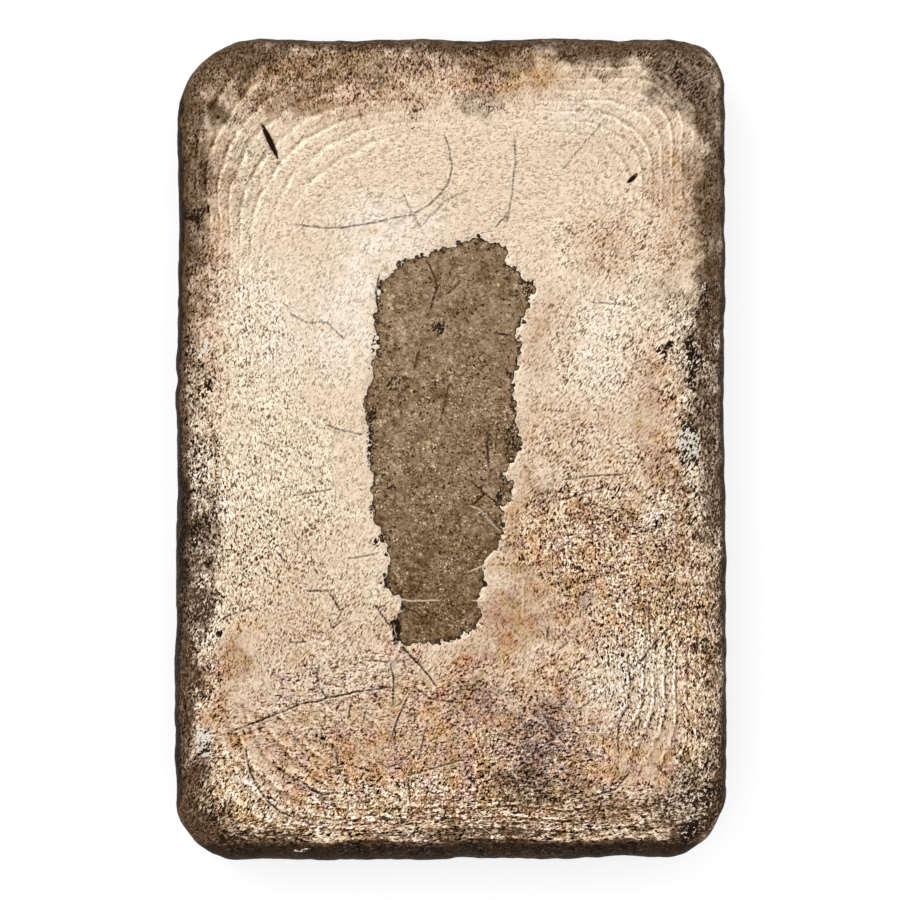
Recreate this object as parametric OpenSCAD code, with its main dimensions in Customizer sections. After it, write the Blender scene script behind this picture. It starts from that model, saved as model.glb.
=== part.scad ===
// Hand-poured metal ingot: one solid, cast in an open mould with drafted walls.
// The free top face froze from the walls inwards. That left a rounded rim, cooling rings
// that follow the outline, a slight sink and, where the last metal froze, a ragged pool.
// X is across the bar, Y runs along it and Z is up from the mould floor, in millimetres.

/* [Bar] */
// Length at the widest section
bar_l = 76; // [60:0.5:110]
// Width at the widest section
bar_w = 51; // [42:0.5:70]
// Height from the mould floor to the crest of the rim
bar_h = 8.25; // [6.5:0.05:16]

/* [Mould] */
// Lean of the side walls, in degrees from upright
draft = 6; // [2:0.5:12]
// Fillet between the side walls and the mould floor
floor_fillet = 1.2; // [0.6:0.1:2.4]
// Plan radius of the back left corner
radius_back_left = 7; // [4:0.1:9]
// Plan radius of the back right corner
radius_back_right = 4.6; // [4:0.1:9]
// Plan radius of the front right corner
radius_front_right = 5.8; // [4:0.1:9]
// Plan radius of the front left corner
radius_front_left = 6.2; // [4:0.1:9]
// How far the hand-cut mould edge wanders inwards
edge_wander = 0.35; // [0:0.05:0.8]

/* [Rim] */
// Depth from the crest of the rim down to the widest section
rim_drop = 2.4; // [1.2:0.1:3.5]
// Distance in plan from the edge to the crest of the rim
rim_run = 2.2; // [1.2:0.1:3.5]

/* [Free face] */
// How far the middle of the face sinks below the crest
sink = 0.5; // [0:0.05:1.2]
// Number of cooling rings
ring_count = 5; // [1:1:7]
// Distance from one cooling ring to the next
ring_pitch = 1.3; // [0.8:0.1:1.8]
// Depth of the first trough, which the later ones fade from
ring_depth = 0.2; // [0:0.02:0.4]
// Radius that the rings gain at the corners for each millimetre inwards
ring_rounding = 0.9; // [0.2:0.1:1.2]

/* [Shrinkage pool] */
// Length of the pool
pool_l = 38; // [20:0.5:44]
// Width of the pool at its back end
pool_back_w = 15.2; // [8:0.2:18]
// Width of the pool at its front end
pool_front_w = 10; // [6:0.2:18]
// Depth of the pool's floor below the middle of the face
pool_depth = 0.45; // [0.2:0.05:1]
// How far the pool lies to the right of the bar's middle
pool_right = -0.6; // [-3:0.1:3]
// How far the pool lies behind the bar's middle
pool_back = 0.6; // [-3:0.1:3]
// How far the ragged edge wanders to each side
pool_rag = 0.6; // [0:0.05:0.8]

/* [Gouges] */
// Depth of both gouges below the crest of the rim
gouge_depth = 0.9; // [0.5:0.05:1.4]
// Length of the long gouge
long_gouge_l = 4; // [2:0.1:6]
// Width of the long gouge
long_gouge_w = 0.7; // [0.3:0.05:1.2]
// Length of the short gouge
short_gouge_l = 1.6; // [1:0.1:4]
// Width of the short gouge
short_gouge_w = 0.5; // [0.3:0.05:1.2]

/* [Hidden] */
silver = "#cdb699";

half_w = bar_w / 2;
half_l = bar_l / 2;
widest_z = bar_h - rim_drop;
rings_end = rim_run + ring_count * ring_pitch;

// Corners run anticlockwise from the back right one: side signs, plan radius, first angle
corners = [
    [1, 1, radius_back_right, 0],
    [-1, 1, radius_back_left, 90],
    [-1, -1, radius_front_left, 180],
    [1, -1, radius_front_right, 270],
];
arc_steps = 9;
side_steps = [8, 12, 8, 12];
wander_waves = [[5, 40, 0.5], [9, 200, 0.3], [17, 110, 0.2]];

// Steps along each part of the section
fillet_steps = 4;
shoulder_steps = 7;
ring_steps = 6;
dish_steps = 4;

// The pool's outline: points on each side, how square its ends are, and the seed of its rag
pool_side_points = 44;
pool_end_power = 3.5;
pool_seed = 11;

// Places of the gouges, in from the nearest edges, with their headings from +X
long_gouge_at = [8.6, 9.9, -65];
short_gouge_at = [8.8, 13.3, 40];

function mix(a, b, t) = a + (b - a) * t;
function ease(t) = t * t * (3 - 2 * t);

// Inward wander of the edge at a share of the way round, from 0 to edge_wander
function wander(share) =
    edge_wander * sum([for (w = wander_waves) w[2] * (1 - cos(360 * w[0] * share + w[1])) / 2]);
function sum(list, i = 0) = i < len(list) ? list[i] + sum(list, i + 1) : 0;

// Plan radius of a corner on a section that lies inset from the edge: walls keep parallel
// to the outline, and the free face gets rounder inwards
function plan_radius(corner_r, inset, free) =
    min(free ? corner_r + ring_rounding * inset : corner_r - inset, half_w - inset);

// One corner's arc and the straight side after it, as [x, y, normal angle]
function corner_run(k, inset, free) =
    let (
        here = corners[k],
        next = corners[(k + 1) % 4],
        w = half_w - inset,
        l = half_l - inset,
        r = plan_radius(here[2], inset, free),
        next_r = plan_radius(next[2], inset, free),
        arc = [for (i = [0 : arc_steps])
            let (a = here[3] + 90 * i / arc_steps)
            [here[0] * (w - r) + r * cos(a), here[1] * (l - r) + r * sin(a), a]],
        last = arc[arc_steps],
        next_start = [
            next[0] * (w - next_r) + next_r * cos(last[2]),
            next[1] * (l - next_r) + next_r * sin(last[2]),
            last[2]
        ]
    )
    concat(arc, [for (i = [1 : side_steps[k] - 1]) mix(last, next_start, i / side_steps[k])]);

// A closed section of the casting at one inset and height
function section_loop(inset, z, free) =
    let (
        run = [for (k = [0 : 3]) each corner_run(k, inset, free)],
        n = len(run),
        fade = max(0, 1 - max(0, inset) / rings_end)
    )
    [for (i = [0 : n - 1])
        let (p = run[i], shift = fade * wander(i / n))
        [p[0] - shift * cos(p[2]), p[1] - shift * sin(p[2]), z]];

// The section's outline as [inset, height, on the free face], from the floor up and in
fillet_inset = floor_fillet / cos(draft) + (widest_z - floor_fillet) * tan(draft);
fillet_part = [for (i = [fillet_steps : -1 : 0])
    let (a = mix(draft, 90, i / fillet_steps))
    [fillet_inset - floor_fillet * cos(a), floor_fillet * (1 - sin(a)), false]];
shoulder_part = [for (i = [0 : shoulder_steps])
    let (a = 90 * i / shoulder_steps)
    [rim_run * (1 - cos(a)), widest_z + rim_drop * sin(a), i > 0]];
face_part = [for (i = [1 : ring_count * ring_steps])
    let (inset = rim_run + i * ring_pitch / ring_steps)
    [inset, face_z(inset), true]];
dish_part = [for (i = [1 : dish_steps - 1])
    let (inset = mix(rings_end, half_w, i / dish_steps))
    [inset, face_z(inset), true]];

// Height of the free face at a distance in from the edge: the sink, and rings that fade inwards
function sunk_z(inset) = bar_h - sink * ease((inset - rim_run) / (half_w - rim_run));
function ring_z(inset) =
    inset >= rings_end ? 0 :
    -ring_depth * (rings_end - inset) / (rings_end - rim_run)
        * (1 - cos(360 * (inset - rim_run) / ring_pitch)) / 2;
function face_z(inset) = sunk_z(inset) + ring_z(inset);

// The casting as it left the mould: sections joined from the floor to the middle of the face
module casting() {
    profile = concat(fillet_part, shoulder_part, face_part, dish_part);
    loops = [for (s = profile) section_loop(s[0], s[1], s[2])];
    n = len(loops[0]);
    m = len(loops);
    points = concat([for (loop = loops) each loop], [[0, 0, 0], [0, 0, bar_h - sink]]);
    floor_faces = [for (i = [0 : n - 1]) [m * n, i, (i + 1) % n]];
    side_faces = [for (j = [0 : m - 2], i = [0 : n - 1], half = [0, 1])
        let (a = j * n + i, b = j * n + (i + 1) % n)
        half == 0 ? [a, b + n, b] : [a, a + n, b + n]];
    top_faces = [for (i = [0 : n - 1]) [m * n + 1, (m - 1) * n + (i + 1) % n, (m - 1) * n + i]];
    polyhedron(points, concat(floor_faces, side_faces, top_faces), convexity = 4);
}

// Half width of the pool at a place along it, from -1 at the front end to 1 at the back end:
// it widens over its front half, and its ends are rounded
function pool_half_width(along) =
    mix(pool_front_w, pool_back_w, ease(min(1, along + 1))) / 2
        * pow(1 - pow(abs(along), pool_end_power), 1 / pool_end_power);

// The pool where the last metal froze: long, narrower at the front, with a ragged edge
module shrinkage_pool() {
    above = 1;
    floor_z = bar_h - sink - pool_depth;
    rag = rands(-pool_rag, pool_rag, 4 * pool_side_points, pool_seed);
    right_side = [for (i = [0 : pool_side_points])
        let (along = -cos(180 * i / pool_side_points))
        [pool_half_width(along) + rag[2 * i], along * pool_l / 2 + rag[2 * i + 1] / 2]];
    left_side = [for (i = [pool_side_points - 1 : -1 : 1])
        let (along = -cos(180 * i / pool_side_points), k = 2 * (pool_side_points + i))
        [-pool_half_width(along) - rag[k], along * pool_l / 2 + rag[k + 1] / 2]];
    translate([pool_right, pool_back, floor_z])
        linear_extrude(height = bar_h + above - floor_z)
            polygon(concat(right_side, left_side));
}

// A gouge as a pointed lens, cut straight down into the face
module gouge(x, y, heading, length, width) {
    lens_steps = 6;
    above = 1;
    upper = [for (i = [0 : lens_steps]) let (t = i / lens_steps)
        [length * (t - 0.5), width / 2 * sin(180 * t)]];
    lower = [for (i = [lens_steps - 1 : -1 : 1]) [upper[i][0], -upper[i][1]]];
    translate([x, y, bar_h - gouge_depth])
        rotate(heading)
            linear_extrude(height = gouge_depth + above)
                polygon(concat(upper, lower));
}

module ingot() {
    color(silver)
        difference() {
            casting();
            shrinkage_pool();
            gouge(long_gouge_at[0] - half_w, half_l - long_gouge_at[1], long_gouge_at[2],
                long_gouge_l, long_gouge_w);
            gouge(half_w - short_gouge_at[0], half_l - short_gouge_at[1], short_gouge_at[2],
                short_gouge_l, short_gouge_w);
        }
}

ingot();
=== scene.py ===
# A hand-poured ingot of toned silver, seen from above on its free face.
import functools
import math
import bmesh
import bpy
import numpy as np
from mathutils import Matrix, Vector, noise


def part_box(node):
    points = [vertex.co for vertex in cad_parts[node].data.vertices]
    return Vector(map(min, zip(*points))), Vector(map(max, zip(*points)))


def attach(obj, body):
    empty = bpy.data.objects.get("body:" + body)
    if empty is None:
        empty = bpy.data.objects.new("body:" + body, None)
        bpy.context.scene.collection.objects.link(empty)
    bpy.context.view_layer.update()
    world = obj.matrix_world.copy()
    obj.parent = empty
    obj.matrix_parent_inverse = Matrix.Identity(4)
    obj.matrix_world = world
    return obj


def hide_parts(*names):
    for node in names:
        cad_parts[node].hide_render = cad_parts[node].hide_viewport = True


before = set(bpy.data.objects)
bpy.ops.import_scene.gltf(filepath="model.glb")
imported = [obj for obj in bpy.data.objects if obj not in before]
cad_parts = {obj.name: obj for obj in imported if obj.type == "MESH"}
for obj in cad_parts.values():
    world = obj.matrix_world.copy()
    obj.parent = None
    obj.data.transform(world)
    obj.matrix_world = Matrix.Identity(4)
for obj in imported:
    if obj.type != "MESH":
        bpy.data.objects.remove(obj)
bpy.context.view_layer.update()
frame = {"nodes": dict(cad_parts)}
ingotLow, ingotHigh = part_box("ingot")
mm = 0.001  # sizes below are in millimetres: X across the bar, Y along it to the back, Z up
print("frame loaded, nodes:", ", ".join(frame["nodes"]))


def toLinear(hexText):
    parts = [int(hexText[i:i + 2], 16) / 255 for i in (1, 3, 5)]
    return [p / 12.92 if p <= 0.04045 else ((p + 0.055) / 1.055) ** 2.4 for p in parts] + [1.0]


def addNode(tree, kind, inputs=(), output=0, **settings):
    # inputs go by the names or numbers of the sockets, or in their order
    node = tree.nodes.new("ShaderNode" + kind)
    for name, value in settings.items():
        setattr(node, name, value)
    pairs = inputs.items() if isinstance(inputs, dict) else enumerate(inputs)
    for name, value in pairs:
        if isinstance(value, bpy.types.NodeSocket):
            tree.links.new(value, node.inputs[name])
        else:
            node.inputs[name].default_value = value
    return node.outputs[output] if len(node.outputs) else None


def smoothStep(start, end, value):
    share = np.clip((value - start) / (end - start), 0, 1)
    return share * share * (3 - 2 * share)


def noiseAt(points, size, octaves=1, shift=0.0):
    # one value about 0 for each point, with features of about this size in mm
    offset = Vector((shift, -shift, shift / 2))
    return np.array([noise.fractal(Vector(p) / size + offset, 1.0, 2.0, octaves) for p in points])


# The form of the bar
barForm = {
    "halfWidth": (ingotHigh.x - ingotLow.x) / 2 / mm,
    "halfLength": (ingotHigh.y - ingotLow.y) / 2 / mm,
    "height": ingotHigh.z / mm,
    "cornerRadii": {"backRight": 4.6, "backLeft": 7.8, "frontLeft": 6.2, "frontRight": 6.6},
    "rimDrop": 2.4,        # crest of the rim down to the widest section
    "rimRun": 2.2,         # edge to crest, in plan
    "sink": 0.5,           # how far the middle of the face lies below the crest
    "draft": 6.0,          # lean of the mould walls, in degrees
    "floorFillet": 1.2,
    "faceEdge": 0.55,      # where the face's grid ends and the rows of the shoulder begin
    "facePitch": 0.228,    # spacing of the face's grid
    "shoulderRows": 8,
    "wallRows": 8,
    "filletRows": 4,
    "floorInset": 3.0,     # a ring of faces round the flat underside
}
widest = barForm["height"] - barForm["rimDrop"]   # height of the widest section

# Dents in the edges: place along the edge, half length, depth
edgeDents = {
    "left": [(6.2, 1.2, 0.22), (20.0, 16.0, 0.25), (-2.0, 8.0, 0.2), (-16.0, 3.0, 0.2), (-31.0, 3.0, 0.2)],
    "right": [(4.0, 14.0, 0.15), (-34.0, 2.0, 0.2)],
    "back": [(-10.0, 6.0, 0.2), (2.0, 5.0, 0.2), (16.0, 2.0, 0.15), (22.0, 2.0, 0.2)],
    "front": [(4.0, 8.0, 0.2), (16.0, 8.0, 0.35), (-16.0, 3.0, 0.15)],
}
# How the edges waver between them: noise as size in mm and octaves, and a row of it for each edge
edgeWaver = {
    "noise": (2.4, 3),
    "rows": {"left": 11.0, "right": 17.0, "back": 23.0, "front": 31.0},
    "lift": 0.4,
    "depth": 0.12,
    "fade": 4,             # power by which it fades towards the middle of the bar
}

# The cooling rings, which show in soft patches: across, along, half width, half length, strength,
# and the turn in degrees where there is one
coolingRings = {
    "pitch": 0.98,
    "depth": 0.035,
    # radius that the rings gain at each corner for each mm inwards
    "rounding": {"backRight": 0.15, "backLeft": 0.75, "frontLeft": 0.75, "frontRight": 0.3},
    "count": 10,
    "halvings": 22,        # steps in which the ring of a point is found
    "start": (1.2, 2.4),   # mm from the edge where they begin and are full
    "fadeFrom": 0.6,       # share of the way to the last ring
    "waver": 0.3,
    "waverNoise": (5.0, 2, 8.0),   # size in mm, octaves, shift
    "fineWaver": 0.3,
    "floor": 0.08,         # strength outside the patches
    "patches": [
        (-20.5, 28, 8, 10, 1), (-12, 27.5, 11, 7, 0.8), (-21, 17, 4.5, 9, 0.6),
        (17.5, 29, 9.5, 9, 0.62), (19, -22.5, 4.6, 8.5, 1.4), (7, -34.3, 11, 2.6, 1.7),
        (-9, -34.4, 8, 2.4, 1.4), (-16.5, -30, 6.5, 6.5, 1.1),
    ],
}

# The sunken patch where the last metal froze, with its edge as points from the back, clockwise
shrinkagePool = {
    "depth": 0.3,
    "bank": (0.02, -0.38),         # where its bank begins and ends, from the edge
    "lip": 0.02,
    "lipAt": 0.2,                  # middle of the lip, outside the edge
    "lipReach": (0.7, 0.15),       # to each side, where it ends and is full
    "rag": 0.26,
    "ragNoise": (0.9, 2, 2.0),
    "edge": [
        (2.0, 19.5), (3.3, 19.3), (4.4, 18.7), (5.4, 18.1), (5.3, 16.8), (6.7, 16.5), (6.7, 15.7),
        (7.8, 15.5), (7.9, 14.5), (7.2, 13.1), (7.0, 12.0), (6.2, 10.8), (6.7, 8.7), (6.4, 7.3),
        (5.9, 5.3), (6.3, 2.6), (6.7, 0.0), (6.1, -1.1), (5.1, -2.3), (6.0, -3.4), (5.8, -4.6),
        (4.9, -5.8), (4.9, -7.3), (4.3, -9.2), (3.1, -10.6), (3.3, -12.9), (2.7, -14.1), (3.1, -15.5),
        (2.6, -16.8), (1.2, -17.3), (0.4, -17.9), (-1.6, -18.0), (-4.1, -18.3), (-5.2, -18.0),
        (-5.5, -15.8), (-4.6, -14.7), (-4.8, -13.8), (-5.8, -13.3), (-6.3, -12.2), (-5.8, -10.4),
        (-6.7, -7.6), (-7.4, -6.9), (-7.1, -5.6), (-7.5, -4.0), (-7.2, -2.8), (-7.7, -1.2), (-7.6, 0.5),
        (-8.0, 3.2), (-7.6, 6.6), (-7.6, 7.8), (-6.8, 9.2), (-7.3, 11.0), (-6.9, 13.5), (-6.8, 15.2),
        (-5.8, 15.8), (-4.6, 17.1), (-3.3, 17.6), (-0.2, 18.7),
    ],
}

# Gouges as pointed lenses: across, along, length, width, heading in degrees, depth
gouges = {
    "long": (-16.6, 28.1, 4.1, 0.52, -65, 0.45),
    "short": (16.7, 24.7, 1.5, 0.42, 40, 0.40),
}
gougePoint = 0.75             # power that makes their ends pointed
gougeFlank = (0.08, -0.12)    # mm from the edge where a gouge begins and is at full depth

# Scratches as strength and points
darkScratches = {
    "longCurve": (0.6, [(-14.1, 20.4), (-11.3, 20.1), (-9.9, 20.2), (-7.2, 20.6), (-3.5, 21.4),
                        (-2.1, 22.2), (-0.9, 23.3), (-0.2, 24.3), (0.1, 25.5), (0.0, 27.2), (-0.5, 28.6)]),
    "faintBend": (0.4, [(-4.4, 23.3), (-3.3, 21.2), (-2.8, 20.2), (-1.6, 21.4), (-0.4, 22.8), (1.4, 23.5)]),
    "leftLoop": (0.55, [(-14.6, 12.2), (-13.2, 11.4), (-11.3, 11.4), (-9.9, 10.1)]),
    "rightFall": (0.5, [(5.9, 28.2), (5.9, 25.9), (5.6, 23.1), (5.2, 20.8)]),
    "rightFork": (0.6, [(5.4, 21.7), (4.2, 20.3)]),
    "backSlant": (0.4, [(14.1, 30.2), (12.8, 28.5), (10.3, 25.5)]),
    "rightFlat": (0.5, [(13.0, 13.3), (16.1, 13.0)]),
    "cornerNick": (0.9, [(22.7, 33.9), (23.7, 34.4)]),
    "leftTick": (0.7, [(-11.3, 2.0), (-9.8, 1.5), (-8.3, 1.2)]),
    "leftDouble": (0.6, [(-14.3, -4.4), (-11.1, -3.9)]),
    "leftDoubleFront": (0.6, [(-9.3, -10.2), (-6.7, -9.7)]),
    "leftBit": (0.9, [(-15.7, -9.8), (-15.2, -10.4)]),
    "frontLong": (1.0, [(-19.8, -25.9), (-17.5, -25.1), (-14.9, -24.0), (-13.6, -23.4), (-12.2, -23.3),
                        (-11.3, -22.9), (-9.9, -22.7), (-7.9, -22.2), (-6.0, -22.0)]),
    "frontBranch": (0.8, [(-11.4, -22.8), (-12.0, -22.0), (-12.3, -21.0), (-12.0, -20.1)]),
    "poolRunOff": (1.0, [(-4.2, -18.6), (-2.8, -19.9), (-1.4, -21.8)]),
    "lobeSide": (0.9, [(-6.8, -14.5), (-5.7, -16.2)]),
    "frontUpright": (0.9, [(-5.4, -19.9), (-5.2, -21.5), (-5.3, -23.2)]),
    "frontSlant": (0.9, [(-3.8, -22.6), (-4.4, -23.8), (-5.1, -25.5), (-5.6, -27.2)]),
    "cornerCrack": (1.0, [(-18.7, -27.5), (-18.4, -29.6), (-17.5, -31.4), (-16.4, -32.7), (-15.5, -33.4),
                          (-14.0, -34.0), (-12.9, -34.4)]),
    "leftHook": (0.8, [(-13.1, -13.2), (-11.3, -13.1), (-10.7, -13.9), (-10.1, -15.1)]),
    "frontFlat": (0.7, [(-3.3, -21.9), (-1.9, -23.0), (0.6, -23.4)]),
    "frontShort": (0.7, [(-2.3, -25.7), (-2.8, -28.2)]),
    "frontRise": (0.8, [(-3.7, -30.0), (-1.6, -29.3), (1.4, -28.6)]),
    "frontStub": (0.7, [(-4.0, -30.5), (-3.7, -32.1)]),
    "leftRise": (0.6, [(-20.5, -15.5), (-18.4, -14.7)]),
    "rightBow": (0.8, [(16.3, -23.6), (15.5, -24.9), (15.2, -26.3), (15.3, -28.0)]),
    "rightRise": (0.6, [(11.3, -24.2), (13.2, -23.1), (14.0, -22.4)]),
    "rightStub": (0.7, [(11.5, -27.9), (13.8, -28.3)]),
    "rightFront": (0.9, [(13.1, -32.0), (15.2, -31.3), (16.2, -30.1)]),
    "rightDots": (0.7, [(10.5, -3.0), (12.9, -2.7), (15.9, -2.5)]),
    "rightCurve": (0.7, [(10.5, -4.8), (12.5, -4.1), (14.1, -3.6)]),
    "frontHatch": (0.8, [(-10.1, -23.4), (-10.4, -24.0)]),
    "frontHatchMid": (0.8, [(-9.2, -23.8), (-9.4, -24.8)]),
    "frontHatchEnd": (0.7, [(-7.7, -24.0), (-8.0, -25.0)]),
    "frontCup": (0.8, [(-6.4, -28.9), (-5.8, -29.3), (-4.7, -28.9), (-3.6, -27.9)]),
    "frontLash": (0.9, [(-8.7, -29.2), (-7.2, -29.6)]),
    "frontWrinkle": (0.7, [(-11.3, -29.7), (-9.5, -30.0)]),
    "frontNick": (0.7, [(-10.5, -27.7), (-10.2, -29.4)]),
    "frontDashes": (1.0, [(-13.5, -30.6), (-12.6, -31.4), (-11.6, -31.7), (-10.3, -31.6)]),
    "frontBar": (0.8, [(-7.6, -19.5), (-5.8, -19.6)]),
    "leftFrontBar": (0.8, [(-14.4, -17.9), (-13.3, -17.8)]),
    "leftFrontFork": (0.7, [(-11.1, -15.8), (-10.9, -16.6), (-9.8, -15.9)]),
    "leftFrontDash": (0.6, [(-12.8, -16.8), (-11.7, -16.9)]),
    "plumCrack": (0.8, [(8.4, -24.3), (9.3, -25.8), (10.2, -26.9)]),
    "rightTick": (0.8, [(9.0, -16.5), (8.8, -17.4)]),
    "rightTickRise": (0.7, [(9.9, -18.5), (10.8, -17.7)]),
    "rightSlash": (0.9, [(20.4, -15.9), (17.9, -18.9), (16.9, -20.1)]),
    "rightUpright": (0.7, [(18.1, -14.1), (18.2, -17.3)]),
    "rightBeads": (0.8, [(16.1, -19.2), (16.4, -21.2)]),
    "poolCross": (1.0, [(2.0, -3.2), (3.1, -4.2), (4.2, -5.1)]),
    "poolCrossing": (1.0, [(2.0, -5.3), (3.0, -4.4)]),
    "poolUpright": (0.9, [(3.3, 1.2), (3.4, -0.1), (3.5, -1.7)]),
    "poolStub": (0.8, [(4.2, 1.2), (4.1, -0.1)]),
    "poolDash": (0.8, [(-2.9, 8.7), (-3.3, 7.3)]),
    "poolDots": (0.7, [(-0.2, 5.7), (-0.6, 4.0), (-0.9, 2.5)]),
    "poolBackDash": (0.8, [(-0.3, 14.1), (0.8, 15.2)]),
    "poolBackCrack": (0.9, [(-2.0, 16.9), (-1.5, 15.7), (-1.3, 14.6), (-1.6, 13.7), (-1.8, 12.7)]),
    "poolRightDash": (1.0, [(4.2, 10.5), (5.3, 10.3)]),
    "poolBlister": (0.9, [(-6.6, 15.6), (-6.9, 14.2), (-6.7, 12.6)]),
}
lightScratches = {
    "poolCrack": (1.0, [(-5.0, -13.8), (-3.5, -14.1), (-1.2, -14.0)]),
    "poolSpur": (1.0, [(3.3, -10.7), (1.7, -11.4)]),
    "poolSpurFront": (1.0, [(3.3, -14.1), (2.1, -14.1)]),
    "poolGlint": (0.8, [(1.9, -5.4), (3.3, -6.1)]),
    "poolGlintFront": (0.7, [(2.6, -5.8), (4.3, -7.5)]),
    "hair": (0.9, [(6.7, -12.2), (6.6, -13.9), (6.5, -15.5)]),
    "hairEnd": (0.8, [(7.0, -15.3), (7.9, -14.6)]),
    "longHair": (0.5, [(5.8, -19.4), (7.9, -23.4), (9.0, -25.5)]),
    "plumGlint": (0.8, [(7.2, -24.6), (8.5, -25.3)]),
    "plumHair": (0.6, [(4.3, -26.5), (6.2, -27.3), (8.5, -26.4)]),
    "frontGlint": (0.6, [(3.6, -22.1), (4.6, -22.8)]),
    "rightGlint": (0.6, [(16.8, -15.3), (17.2, -19.0)]),
    "hookHair": (0.6, [(-9.9, -15.5), (-8.5, -15.9)]),
}
scratchReach = 0.45   # mm to each side of a scratch that its vertices know it
scratchCore = 0.12    # mm to each side where they know it in full

# Fine relief of the free face and the walls: height in mm, and noise as above
fineRelief = {
    "swell": (0.05, (6.0, 2, 1.0)),
    "ripple": (0.02, (1.6, 2, 6.0)),
    "grit": (0.006, (0.66, 1, 3.0)),
    "grimeGrit": 0.04,           # more of it in the grime
    "grimePits": 0.10,
    "pitsFrom": (0.0, 0.5),      # noise where a pit begins and is at full depth
    "chalk": 0.06,
    "poolCalm": 0.6,             # share that the pool takes away
    "scratch": (-0.025, 0.22),   # height and half width
    "burr": (0.05, 0.3),
    "rimFree": 1.2,              # mm from the edge where all of it shows
    "headroom": 0.02,            # least distance below the top of the solid
    "lumps": (0.07, (1.8, 3, 5.0)),
    "lumpSink": 0.05,
    "lumpFoot": (0.0, 0.8),      # heights on the wall between which the lumps begin
    "lumpEnd": (0.3, 1.5),       # mm from the edge between which they end on the face
}
# What the finish has to know of these forms at each vertex
shapeMarks = ("ringPhase", "ringShare", "poolEdge", "gougeEdge", "darkSide", "darkShown", "lightSide",
              "lightShown")

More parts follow.
